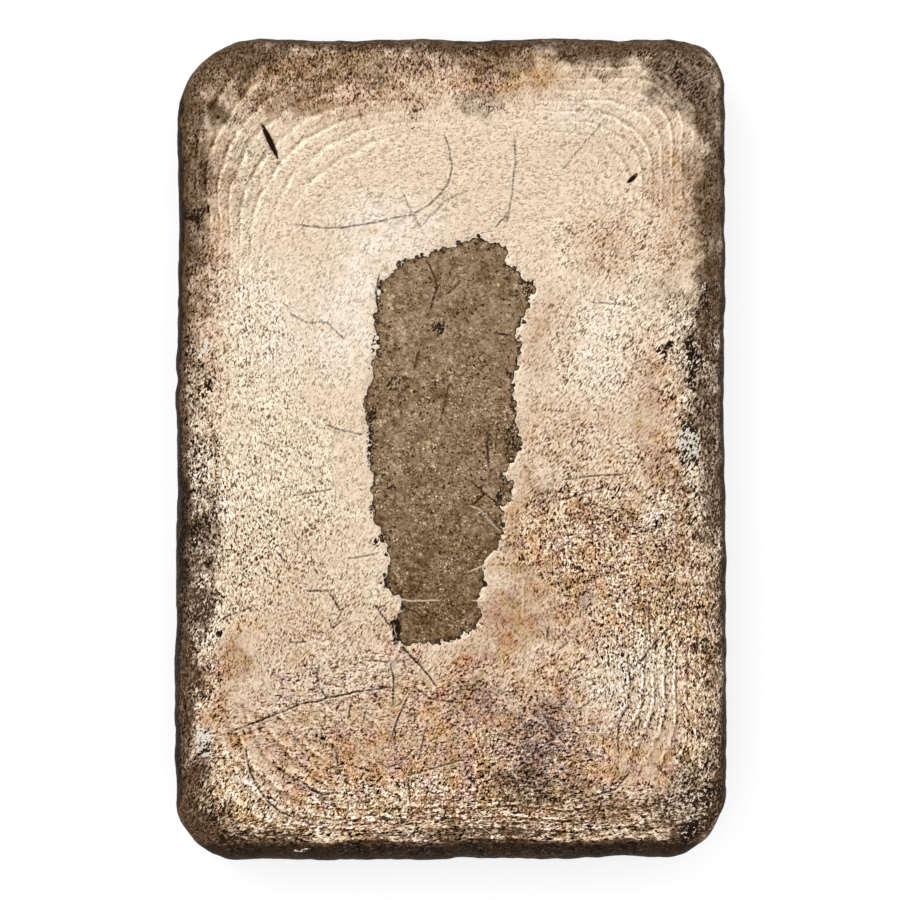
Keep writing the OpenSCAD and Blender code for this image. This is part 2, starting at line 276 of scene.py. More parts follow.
# Toning and grime, each a list of patches as above
toning = {
    "warm": [       # cream to tan
        (0, -29.5, 30, 14, 0.8), (14, -11, 12, 11, 0.75), (-13.9, -18.6, 9, 7, 0.28),
        (-20.1, -19.7, 2.4, 3.4, 0.8), (-12, -31.6, 8, 4.5, 0.72), (-11, 34, 14, 4.6, 0.6),
        (5, 34.6, 7, 3.2, 0.7), (21.6, 22, 4, 9, 0.4), (-22.5, 18.3, 3, 20, 0.4), (12, 1, 7, 6, 0.3),
        (16, 31, 8, 6, 0.15), (-17, -12, 8, 7, 0.2), (9.2, 10, 3.8, 5.4, 0.34), (18.8, 4, 3.6, 8, 0.6),
        (7.2, -9, 3.2, 9.5, 0.75), (2.5, -19.5, 3.6, 2.4, 0.8), (22.6, -18, 2.8, 14, 0.75),
        (-21.6, -25, 2.4, 9, 0.65), (20, -2.5, 3.4, 3.6, 0.75), (14.5, 18.5, 3.8, 3.8, 0.35),
        (5.6, -16, 3.6, 4.2, 0.85),
    ],
    "bright": [
        (13.9, 9.1, 6, 7.5, 0.4), (-9.6, 11.5, 3.4, 6, 0.9), (-6.5, 20, 5.5, 3.6, 0.9),
        (-8.6, 15.5, 2.8, 3.4, 0.9), (14.6, -22.4, 3.4, 3.6, 0.65), (13, 30.6, 6, 2.4, 0.45),
        (-9.5, -21, 6, 4, 0.4), (17, -22, 4.6, 4.6, 0.4), (-16.6, 12, 5.5, 7.4, 0.45),
        (-13.5, -22.8, 6, 4, 0.4),
    ],
    "plum": [
        (8.8, -27.4, 4.2, 4.6, 0.8), (2.8, -23.2, 3.9, 2.4, 0.6), (12.5, -14, 0.9, 2.8, 0.6),
        (0.5, -36.2, 6, 0.9, 0.6), (-24.2, -22, 1.2, 10, 0.5), (8, 37, 8, 0.8, 0.5),
    ],
    "gold": [
        (4.3, -32.2, 1.8, 1.1, 0.9), (9.9, -31.6, 1.7, 1.1, 0.9), (4.9, -18.8, 1, 1.6, 0.7),
        (12.5, -29.2, 1.6, 1, 0.7), (14.8, -33.9, 2.4, 1, 0.8), (-18.5, -16.3, 1.6, 1, 0.5),
        (-12, 35, 8, 2, 0.4), (7.5, 34.5, 3, 2, 0.6), (19.5, -15, 2.5, 3, 0.5),
        (-20.3, -33.2, 4.4, 3, 0.75, -40),
    ],
    "chalk": [
        (-22.4, 9.3, 0.6, 1.3, 0.72, -20), (-23, 8.3, 0.6, 0.5, 0.7), (21.5, -32.5, 3, 4, 0.4),
        (21.9, 0, 1.2, 2.4, 0.62), (22.3, -6.5, 1.3, 3.6, 0.38), (22, -3, 0.8, 1.2, 0.55),
        (-22.6, -26.8, 1.3, 2.6, 0.66), (-19.2, -30.4, 1, 1, 0.78), (-13.4, -36.8, 1.2, 0.2, 0.6, 8),
        (23.1, 14.6, 0.8, 0.9, 0.7), (17.5, -10, 3, 6, 0.25), (-22.3, -15, 1.5, 4, 0.35),
    ],
    "streak": [     # upright dashes
        (-17.5, -4, 8.5, 20, 0.9), (19, -20, 6, 14, 0.9), (-7, 34, 18, 5, 1), (12, -11, 8, 8, 0.7),
        (0, -28, 20, 8, 0.5), (-24.5, 0, 1.6, 36, 0.9), (24.5, 0, 1.6, 36, 0.9),
    ],
    "slant": [      # dashes that lean to the right
        (15.5, 10, 9, 13, 0.9), (12, -2, 8, 6, 0.7), (17, 24, 8, 7, 0.7), (4, -28, 20, 8, 0.6),
        (-6, 22, 12, 10, 0.4),
    ],
    "flat": [       # dashes along the front edge and across the front half
        (0, -36, 26, 3, 1), (8, -33, 16, 3.5, 0.8), (14, -10, 8, 8, 0.4), (8, -28, 6, 6, 0.9),
        (-4, -27, 20, 8, 0.6), (0, 24, 20, 8, 0.4), (0, 37.6, 25, 0.8, 0.9),
    ],
    "grain": [      # how strongly the painted shade in the skin's pits and the painted highlight on its bumps show
        (-7, 35.5, 22, 6.5, 0.95), (-19, 27, 9, 10, 0.5), (-21, 10, 8, 14, 0.95), (-16, -4, 9, 16, 1),
        (-20, -9, 7, 10, 1.4), (-24, -14, 4.5, 30, 2), (-24, 8, 3, 10, 1), (-10, -17, 14, 9, 0.85),
        (18.8, -6.4, 3.2, 3.2, 2.6), (0, -25, 26, 10, 1.25), (0, -34, 30, 6.5, 2.5),
        (16, 18.5, 9, 6.5, 0.85), (14, 8, 9, 9, 0.95), (22.5, 7, 5.5, 11, 1.75), (24, -14, 5, 28, 2.1),
        (13, -1, 9, 6, 1), (-20, -32, 8, 6, 2.2), (14, -8.5, 11, 8.5, 2.1), (17, -15, 8, 9, 2),
        (12, -24, 14, 9, 1.3), (8, -29, 10, 6, 2.1),
    ],
    "fleck": [      # light flecks that gather in the pool
        (-6, 13.8, 0.9, 1.4, 0.5), (-0.2, 11, 1, 0.6, 0.25), (1.6, 14.2, 1.4, 0.6, 0.22, 20),
        (-5.6, 2.2, 1.6, 1.2, 0.28), (4.5, 5.4, 1, 1, 0.3), (-1.5, 0.5, 4, 1, 0.2),
        (-2, -5, 3, 2, 0.16), (2.6, -6.6, 1.2, 0.8, 0.3, -30), (-4.6, -11.4, 1.4, 1, 0.24),
        (0, -10, 3, 3, 0.14), (-3, -15.6, 1.5, 1, 0.14), (5.5, 12.4, 1.2, 1.6, 0.18),
    ],
    "tarnish": [    # a soft brown veil; its narrow strips along the edges partly paint shade on the rim
        (-23, 35.4, 7.5, 3.2, 0.8, 45), (-23.6, 30, 2.6, 4.5, 0.75, -10), (-14.5, 32, 5, 2.6, 0.5),
        (2.5, 31.6, 3.2, 2, 0.55), (12.5, 37, 8, 2.4, 0.86), (23.6, 13, 2.6, 7, 0.92),
        (23.4, 2.5, 2.4, 5.5, 0.9), (-23.2, -14.6, 2.6, 4, 0.9), (8, -31.5, 8.5, 3, 0.68),
        (20, -33.2, 5, 3, 0.66), (2, -35.4, 14, 1.8, 0.75), (-8, 32.2, 12, 3, 0.3),
        (22, 35.2, 4.6, 4.4, 0.78), (-17.5, 36.2, 4.5, 2.4, 0.85), (-21.8, 30.5, 1.9, 2.3, 0.9),
        (-18.5, 35, 2.8, 1.7, 0.85, 25), (23.6, 30.5, 2.4, 4, 0.8), (24.2, -32.5, 1.4, 4.5, 1.05, -10),
        (21.5, -35.6, 2.6, 1.4, 1.05, 25), (-21.8, -25.5, 2.4, 6, 0.25), (-16, -36, 8, 1.6, 0.8),
        (-11.5, 35.4, 14, 4, 0.58), (4.5, 36, 6.5, 2.8, 0.62), (17, 37, 8, 1.6, 0.55),
        (22.2, 33.8, 4.4, 5, 0.8, 30), (24.4, 22, 2.8, 13, 0.8), (22.8, 22, 2.4, 8, 0.4),
        (22.6, 8.5, 3.6, 7.5, 0.62), (24.4, -3, 2.2, 10, 0.8), (24.9, -22, 1.8, 14, 0.56),
        (20, -7, 5, 7, 0.45), (19.5, -22, 6, 10, 0.3), (20, -14, 4.5, 4, 0.45),
        (22.8, -32.5, 4.4, 5.4, 0.62, -30), (13, -33.8, 7.5, 3.2, 0.6), (0, -34, 13, 3, 0.5),
        (-13, -34.8, 8.5, 2.6, 0.42), (-23.2, -35.2, 6.4, 3, 1.2, -45),
        (-23.4, -30.8, 2.2, 4.5, 0.95, -10), (-21, -34.2, 3.2, 2.2, 0.7, -40),
        (23.2, -12, 1.6, 12, 0.4), (-24.6, -24, 1.9, 13, 0.9), (-24.8, -9.5, 1.4, 9, 1.7),
        (-23.2, -9.5, 2.6, 7, 0.8), (-24.3, 6, 2, 10, 0.6), (-24, 24, 2.6, 12, 0.8),
        (-22.6, 34, 5.4, 4.6, 0.6, 40), (-20.5, 27, 5, 8, 0.4), (7, -26, 4.2, 5.2, 0.5),
        (11, -11, 6, 6.5, 0.3), (14.6, -6.6, 4.6, 3.4, 0.45), (8.8, -4, 2.6, 3.2, 0.42),
        (22.5, 26, 2.2, 4.5, 0.5), (20, 14.3, 4.5, 2.6, 0.42),
    ],
    "grime": [      # from a few dark pits to a whole dark crust
        (-18, -1, 7.5, 16, 0.22), (-21, 16, 4.5, 9, 0.34), (2, -30.4, 0.65, 0.32, 1.3, -28),
        (-21.2, -17, 0.6, 0.5, 1.2, 30), (-12, 34.5, 14, 4.5, 0.45), (-14, 35.6, 4, 1.5, 0.6),
        (-3, 35.6, 1.6, 1.4, 0.65), (-3.2, 29.9, 1, 1.5, 0.55), (4.6, 35.2, 5.6, 2.8, 0.45),
        (3.4, 31.4, 2, 1.1, 0.6), (21.7, 33.4, 2.6, 3.6, 0.75, 30), (19, 22, 5, 8, 0.36),
        (15.5, 10, 8, 12, 0.2), (22, 9, 3.5, 7, 0.62), (22, 7.7, 1.2, 4.4, 0.85),
        (20.1, 9.4, 0.7, 0.7, 1), (19.6, 8.2, 1, 2.6, 0.75, 10), (23.3, 13.7, 1.6, 3.3, 0.8),
        (24.2, -3, 1.3, 10, 0.6), (12, 1, 5, 6, 0.2), (22, -2, 1.6, 5.5, 0.7),
        (22.6, -14, 1.8, 9, 0.66), (18.5, -9, 5.5, 8, 0.42), (11, -11, 6, 7, 0.3),
        (10.8, -8.6, 1.2, 1.6, 0.6), (20, -23, 5, 10, 0.32), (23.2, -22, 1.4, 10, 0.62),
        (22.5, -32, 3.5, 5, 0.72, -20), (17, -33, 4, 2.5, 0.6), (8.8, -27.4, 4.5, 4.6, 0.4),
        (0, -27, 22, 9, 0.22), (0, -34, 20, 3, 0.5), (11, -33, 5, 2.2, 0.62), (-14, -34, 6, 3, 0.55),
        (-21.5, -33.5, 5, 3.6, 0.72, -40), (-22.6, -26.5, 1.9, 4.2, 0.7), (-23.2, -20, 1.8, 6, 0.6),
        (-22.8, -9, 2.6, 4.8, 0.7), (-22, -14, 2.4, 3, 0.7), (-23.2, -8.5, 1.6, 2.6, 0.8),
        (-22.6, 5.2, 1.4, 2.2, 0.68), (-23.5, 20.9, 1.3, 2.2, 0.8), (5.4, 0.8, 1, 3.7, 0.75),
        (4.6, -4.3, 1, 1.4, 0.85), (7.2, 14.5, 0.8, 1, 0.8), (-1.2, 11.1, 0.7, 0.7, 0.75),
        (-5.2, 5.2, 1.4, 1.8, 0.6), (-5.8, -4, 1.2, 1.6, 0.55), (-0.8, -7.5, 1.1, 0.8, 0.55),
        (-0.5, -10.9, 0.8, 0.7, 0.55), (-7.2, 2.9, 0.7, 1.1, 0.8), (-5, -16.8, 0.7, 1.3, 0.85),
        (-7.3, 0.6, 0.5, 3, 0.75), (-7.1, -5.5, 0.5, 1.5, 0.75), (-6.5, -9.5, 0.5, 1.6, 0.75, 15),
        (-7, 9.4, 0.5, 1.5, 0.7, -15), (-6.6, 12.8, 0.4, 1.5, 0.75), (3, -1, 2, 4.5, 0.42),
        (24.3, -33, 1, 3.6, 0.8, -12), (21.6, -35.8, 2.2, 1.2, 0.8, 25),
    ],
}
dashKinds = ("streak", "slant", "flat")
leastToning = {"grime": 0.12, "grain": 0.45, "slant": 0.25}

# Edges of the patches: where they end and are full, as shares of their size, and how uneven they are
patchFade = (1.25, 0.35)
patchNoise = {"coarse": (3.2, 3, 4.0), "fine": (1.1, 3, 9.0)}
patchWarp = {"coarse": 0.55, "fine": 0.35}
patchRoughness = {"grime": 1.0, "chalk": 1.0, "tarnish": 0.6}
plainRoughness = 0.5          # of the others

# The dark rim, partly tarnish and grime and partly painted shade where the shoulder turns from the light,
# darkest at the front and in a thin line at the very edge; from its wide bands to its narrow ones: width
# from the edge, softness, tarnish and grime
rimTarnishAndShade = {
    "left": [(3.0, 2.0, 0.62, 0.3), (1.3, 0.4, 1.15, 0.4), (0.65, 0.25, 1.9, 0.45)],
    "right": [(2.0, 1.7, 0.6, 0.36), (0.6, 0.25, 1.6, 0.45)],
    "back": [(3.0, 2.2, 0.64, 0.3), (1.5, 0.7, 0.95, 0.36), (0.5, 0.3, 1.5, 0.45)],
    "front": [(1.9, 0.2, 1.4, 0.5), (1.55, 0.2, 2.0, 0.6)],
    "all": [(2.6, 2.1, 0.66, 0.3), (1.1, 0.5, 0.85, 0.36)],
}
rimGrain = 0.7

# The walls, whose toning, with painted shade where they turn from the light, sets in unevenly below the
# shoulder
wallToningAndShade = {"warm": 0.6, "tarnish": 1.1, "grime": 0.4, "grain": 0.5, "streak": 0.5}
wallFade = {
    "top": 0.6,                      # mm above the widest section where it sets in
    "darkTop": -0.5,                 # the same for tarnish and grime
    "run": 2.6,
    "uneven": 1.6,
    "patchy": 0.6,                   # change of the tarnish from place to place
    "front": 1.1,                    # more tarnish at the front, as painted shade there
    "frontRange": (-0.85, -0.97),    # share of the half length
}


def atCorner(x, y, values):
    # the value of the corner that each point is nearest to
    back = np.where(x > 0, values["backRight"], values["backLeft"])
    front = np.where(x > 0, values["frontRight"], values["frontLeft"])
    return np.where(y > 0, back, front)


def ringInset(x, y):
    # how far in from the edge the ring through each point lies, found by halving
    halfW, halfL = barForm["halfWidth"], barForm["halfLength"]
    radius = atCorner(x, y, barForm["cornerRadii"])
    rounding = atCorner(x, y, coolingRings["rounding"])
    low, high = np.zeros_like(x), np.full_like(x, halfW)
    for halving in range(coolingRings["halvings"]):
        inset = (low + high) / 2
        r = np.minimum(radius + rounding * inset, halfW - inset)
        overX = np.abs(x) - (halfW - inset - r)
        overY = np.abs(y) - (halfL - inset - r)
        reach = np.hypot(np.maximum(overX, 0), np.maximum(overY, 0))
        outside = reach + np.minimum(np.maximum(overX, overY), 0) > r
        high = np.where(outside, inset, high)
        low = np.where(outside, low, inset)
    return low


def faceHeight(inset):
    # the rounded rim as a quarter of an ellipse, then the sink towards the middle
    rim = np.clip(inset / barForm["rimRun"], 0, 1)
    sunk = smoothStep(barForm["rimRun"], barForm["halfWidth"], inset)
    return widest + barForm["rimDrop"] * np.sqrt(1 - (1 - rim) ** 2) - barForm["sink"] * sunk


def turned(x, y, across, along, degrees=0):
    # places as seen from a patch's own middle and heading
    a = math.radians(degrees)
    u = (x - across) * math.cos(a) + (y - along) * math.sin(a)
    v = (y - along) * math.cos(a) - (x - across) * math.sin(a)
    return u, v


def patchMap(x, y, patches, warp):
    # the strongest patch at each point, with edges that the warp makes uneven
    value = np.zeros_like(x)
    for across, along, halfW, halfL, strength, *turn in patches:
        u, v = turned(x, y, across, along, *turn)
        share = smoothStep(*patchFade, np.hypot(u / halfW, v / halfL) + warp)
        value = np.maximum(value, strength * share)
    return value


def segmentSide(x, y, start, end):
    # distance to a segment, and the side of it that each point lies on
    dx, dy = end[0] - start[0], end[1] - start[1]
    share = np.clip(((x - start[0]) * dx + (y - start[1]) * dy) / (dx * dx + dy * dy), 0, 1)
    distance = np.hypot(x - start[0] - share * dx, y - start[1] - share * dy)
    side = np.where((x - start[0]) * dy - (y - start[1]) * dx > 0, 1.0, -1.0)
    return distance, side


def poolDistance(x, y):
    # distance to the pool's edge, negative inside
    edge = shrinkagePool["edge"]
    nearest = np.full_like(x, np.inf)
    inside = np.zeros(x.shape, bool)
    for start, end in zip(edge, edge[1:] + edge[:1]):
        nearest = np.minimum(nearest, segmentSide(x, y, start, end)[0])
        crosses = (start[1] > y) != (end[1] > y)
        run = (end[0] - start[0]) / ((end[1] - start[1]) or math.inf)   # a level piece is never crossed
        inside ^= crosses & (x < start[0] + run * (y - start[1]))
    return np.where(inside, -nearest, nearest)


def scratchMap(x, y, scratches):
    # signed distance to the nearest scratch, and how strongly it shows
    nearest = np.full_like(x, np.inf)
    signed = np.full_like(x, scratchReach)
    shown = np.zeros_like(x)
    for strength, path in scratches.values():
        for start, end in zip(path, path[1:]):
            distance, side = segmentSide(x, y, start, end)
            closer = distance < nearest
            nearest = np.where(closer, distance, nearest)
            signed = np.where(closer, distance * side, signed)
            shown = np.where(closer, strength * smoothStep(scratchReach, scratchCore, distance), shown)
    return np.clip(signed, -scratchReach, scratchReach), shown


def gougeMap(x, y):
    # signed distance to the nearest gouge's edge, and its depth
    nearest = np.full_like(x, scratchReach)
    depth = np.zeros_like(x)
    for across, along, length, width, heading, deep in gouges.values():
        u, v = turned(x, y, across, along, heading)
        half = width / 2 * np.clip(1 - (2 * u / length) ** 2, 0, 1) ** gougePoint
        edge = np.maximum(np.abs(v) - half, np.abs(u) - length / 2)
        nearest = np.minimum(nearest, edge)
        depth = np.maximum(depth, deep * smoothStep(*gougeFlank, edge))
    return nearest, depth


def edgeShift(place, side, outward):
    # how far in an edge lies at each place along it, fading towards the middle of the bar
    waver = noiseAt([(p, edgeWaver["rows"][side], 0.0) for p in place], *edgeWaver["noise"])
    total = edgeWaver["depth"] * np.clip(waver + edgeWaver["lift"], 0, 1)
    for at, half, depth in edgeDents[side]:
        total = total + depth * smoothStep(half, 0, np.abs(place - at))
    return total * np.clip(outward, 0, 1) ** edgeWaver["fade"]


def layFaceGrid(bm):
    # a grid over the face, with its corners drawn in to the round corners of the bar
    halfW = barForm["halfWidth"] - barForm["faceEdge"]
    halfL = barForm["halfLength"] - barForm["faceEdge"]
    bmesh.ops.create_grid(bm, x_segments=round(2 * halfW / barForm["facePitch"]),
                          y_segments=round(2 * halfL / barForm["facePitch"]), size=1.0)
    outX = bm.verts.layers.float.new("outX")
    outY = bm.verts.layers.float.new("outY")
    flat = np.array([v.co for v in bm.verts])
    x, y = flat[:, 0] * halfW, flat[:, 1] * halfL
    r = atCorner(x, y, barForm["cornerRadii"]) - barForm["faceEdge"]
    a = np.clip((np.abs(x) - halfW + r) / r, 0, 1)
    b = np.clip((np.abs(y) - halfL + r) / r, 0, 1)
    inCorner = (a > 0) & (b > 0)
    roundA, roundB = a * np.sqrt(1 - b * b / 2), b * np.sqrt(1 - a * a / 2)
    x = np.where(inCorner, np.sign(x) * (halfW - r + r * roundA), x)
    y = np.where(inCorner, np.sign(y) * (halfL - r + r * roundB), y)
    onSide = np.isclose(np.abs(x), halfW, rtol=0, atol=1e-3)
    onEnd = np.isclose(np.abs(y), halfL, rtol=0, atol=1e-3)
    towardX = np.where(inCorner, roundA, onSide) * np.sign(x)
    towardY = np.where(inCorner, roundB, onEnd) * np.sign(y)
    z = faceHeight(ringInset(x, y))
    for i, v in enumerate(bm.verts):
        v.co = (x[i], y[i], z[i])
        v[outX], v[outY] = towardX[i], towardY[i]
    return outX, outY


def extrudeRow(bm, edges, move):
    made = bmesh.ops.extrude_edge_only(bm, edges=edges)["geom"]
    for v in (g for g in made if isinstance(g, bmesh.types.BMVert)):
        v.co = move(v)
    return [g for g in made if isinstance(g, bmesh.types.BMEdge) and g.is_boundary]


def dropSkirt(bm, outX, outY):
    # rows over the shoulder, down the drafted wall and round the fillet to the underside
    rimDrop, rows = barForm["rimDrop"], barForm["shoulderRows"]
    lean = math.radians(barForm["draft"])
    fillet = barForm["floorFillet"]
    edges = [e for e in bm.edges if e.is_boundary]
    startZ = bm.verts.layers.float.new("startZ")
    for v in {v for e in edges for v in e.verts}:
        v[startZ] = v.co.z
    for row in range(1, rows + 1):

        def overShoulder(v):
            first = math.asin((v[startZ] - widest) / rimDrop)
            before, now = first * (1 - (row - 1) / rows), first * (1 - row / rows)
            step = (math.cos(now) - math.cos(before)) / (1 - math.cos(first)) * barForm["faceEdge"]
            return (v.co.x + v[outX] * step, v.co.y + v[outY] * step, widest + rimDrop * math.sin(now))
        edges = extrudeRow(bm, edges, overShoulder)
    wallEnd = fillet * (1 - math.sin(lean))
    profile = []
    for row in range(barForm["wallRows"] + 1):
        fall = (widest - wallEnd) * row / barForm["wallRows"]
        profile.append((-fall * math.tan(lean), widest - fall))
    wallFoot = profile[-1][0] - fillet * math.cos(lean)
    for row in range(1, barForm["filletRows"] + 1):
        angle = lean + (math.pi / 2 - lean) * row / barForm["filletRows"]
        profile.append((wallFoot + fillet * math.cos(angle), fillet * (1 - math.sin(angle))))
    profile.append((profile[-1][0] - barForm["floorInset"], 0.0))
    for last, (out, z) in zip(profile, profile[1:]):
        step = out - last[0]
        edges = extrudeRow(bm, edges, lambda v: (v.co.x + v[outX] * step, v.co.y + v[outY] * step, z))
    bmesh.ops.contextual_create(bm, geom=edges)


def layToning(place, inset, coarse, fine, warp):
    # how strongly each tone shows at each vertex
    x, y, z = place.T
    halfW, halfL = barForm["halfWidth"], barForm["halfLength"]
    marks = {}
    for name, patches in toning.items():
        marks[name] = patchMap(x, y, patches, warp * patchRoughness.get(name, plainRoughness))
    for name, strength in leastToning.items():
        marks[name] = np.maximum(marks[name], strength)
    fromEdge = {"left": x + halfW, "right": halfW - x, "back": halfL - y, "front": y + halfL, "all": inset}
    # the rim bands, which paint shade on the shoulder as well as its tarnish and grime
    for side, distance in fromEdge.items():
        for width, softness, tarnish, grime in rimTarnishAndShade[side]:
            uneven = distance + softness * (coarse + fine)
            band = smoothStep(width + softness, width - softness, uneven)
            for name, strength in (("tarnish", tarnish), ("grime", grime), ("grain", rimGrain)):
                marks[name] = np.maximum(marks[name], strength * band)

    # the three kinds of dashes share the skin between them
    dashTotal = np.sqrt(sum(marks[name] ** 2 for name in dashKinds))
    for name in dashKinds:
        marks[name] = marks[name] / dashTotal

    # the walls have a toning of their own, which also paints shade on them
    atFront = smoothStep(*wallFade["frontRange"], y / halfL)
    onWall = dict(wallToningAndShade)
    onWall["tarnish"] = wallToningAndShade["tarnish"] + wallFade["patchy"] * coarse + wallFade["front"] * atFront
    for name in marks:
        top = widest + (wallFade["darkTop"] if name in ("tarnish", "grime") else wallFade["top"])
        below = smoothStep(top, top - wallFade["run"], z + wallFade["uneven"] * coarse)
        marks[name] = marks[name] * (1 - below) + onWall.get(name, 0.0) * below
    return marks


def layRelief(place, inset, fine, warp, marks):
    # relief of the free face, and marks for the finish of its rings, pool, gouges and scratches
    x, y, z = place.T
    rings, poolForm, relief = coolingRings, shrinkagePool, fineRelief
    ringShare = np.maximum(patchMap(x, y, rings["patches"], plainRoughness * warp), rings["floor"])
    ringsEnd = barForm["rimRun"] + rings["count"] * rings["pitch"]
    ringShare = ringShare * smoothStep(*rings["start"], inset)
    ringShare = ringShare * smoothStep(ringsEnd, ringsEnd * rings["fadeFrom"], inset)
    waver = noiseAt(place, *rings["waverNoise"]) + rings["fineWaver"] * fine
    ringPhase = (inset - barForm["rimRun"]) / rings["pitch"] + rings["waver"] * waver
    ridge = (0.5 + 0.5 * np.cos(2 * math.pi * ringPhase)) ** 2
    pool = poolDistance(x, y) + poolForm["rag"] * noiseAt(place, *poolForm["ragNoise"])
    inPool = smoothStep(*poolForm["bank"], pool)
    gougeEdge, gougeDepth = gougeMap(x, y)
    darkSide, darkShown = scratchMap(x, y, darkScratches)
    lightSide, lightShown = scratchMap(x, y, lightScratches)
    marks.update(zip(shapeMarks, (ringPhase, ringShare, pool, gougeEdge, darkSide, darkShown,
                                  lightSide, lightShown)))

    height = rings["depth"] * ringShare * (ridge - 1)
    for name, gain in (("swell", 0.0), ("ripple", 0.0), ("grit", relief["grimeGrit"])):
        rise, grain = relief[name]
        height = height + (rise + gain * marks["grime"]) * noiseAt(place, *grain)
    height -= relief["grimePits"] * marks["grime"] * smoothStep(*relief["pitsFrom"], fine)
    height += relief["chalk"] * marks["chalk"]
    height = height * (1 - relief["poolCalm"] * inPool)
    height += poolForm["lip"] * smoothStep(*poolForm["lipReach"], np.abs(pool - poolForm["lipAt"]))
    height -= poolForm["depth"] * inPool + gougeDepth
    for name, side, shown in (("scratch", darkSide, darkShown), ("burr", lightSide, lightShown)):
        rise, half = relief[name]
        height = height + rise * shown * smoothStep(half, 0.0, np.abs(side))
    height = height * smoothStep(0.0, relief["rimFree"], inset)
    return np.minimum(height, barForm["height"] - z - relief["headroom"])


def makeIngot():
    bm = bmesh.new()
    outX, outY = layFaceGrid(bm)
    faceCount = len(bm.verts)
    dropSkirt(bm, outX, outY)
    bmesh.ops.recalc_face_normals(bm, faces=bm.faces)
    bm.verts.index_update()
    place = np.array([v.co for v in bm.verts])
    x, y, z = place.T
    onFace = np.arange(len(place)) < faceCount
    inset = ringInset(x, y)
    print("ingot laid out:", len(place), "vertices")

    coarse = noiseAt(place, *patchNoise["coarse"])
    fine = noiseAt(place, *patchNoise["fine"])
    warp = patchWarp["coarse"] * coarse + patchWarp["fine"] * fine
    marks = layToning(place, inset, coarse, fine, warp)
    z = np.where(onFace, z + layRelief(place, inset, fine, warp, marks), z)

    # lumps of the shoulder and walls, and the wavering edges
    rise, grain = fineRelief["lumps"]
    lump = (rise * noiseAt(place, *grain) - fineRelief["lumpSink"]) * smoothStep(*fineRelief["lumpFoot"], z)
    lump = lump * (1 - onFace * smoothStep(*fineRelief["lumpEnd"], inset))
    x = x + lump * np.array([v[outX] for v in bm.verts])
    y = y + lump * np.array([v[outY] for v in bm.verts])
    shareX, shareY = x / barForm["halfWidth"], y / barForm["halfLength"]
    movedX = x + edgeShift(y, "left", -shareX) - edgeShift(y, "right", shareX)
    movedY = y - edgeShift(x, "back", shareY) + edgeShift(x, "front", -shareY)
    middle = (ingotLow + ingotHigh) / 2
    moved = np.stack([movedX * mm + middle.x, movedY * mm + middle.y, z * mm], 1)
    for v, co in zip(bm.verts, moved):
        v.co = co
    for layer in list(bm.verts.layers.float):
        bm.verts.layers.float.remove(layer)
    for face in bm.faces:
        face.smooth = True
    mesh = bpy.data.meshes.new("castIngot")
    bm.to_mesh(mesh)
    bm.free()
    for name, values in marks.items():
        mesh.attributes.new(name, "FLOAT", "POINT").data.foreach_set("value", values.astype(np.float32))
    ingot = bpy.data.objects.new("castIngot", mesh)
    bpy.context.collection.objects.link(ingot)
    print("ingot modelled:", sum(len(p.vertices) - 2 for p in mesh.polygons), "triangles")
    return ingot


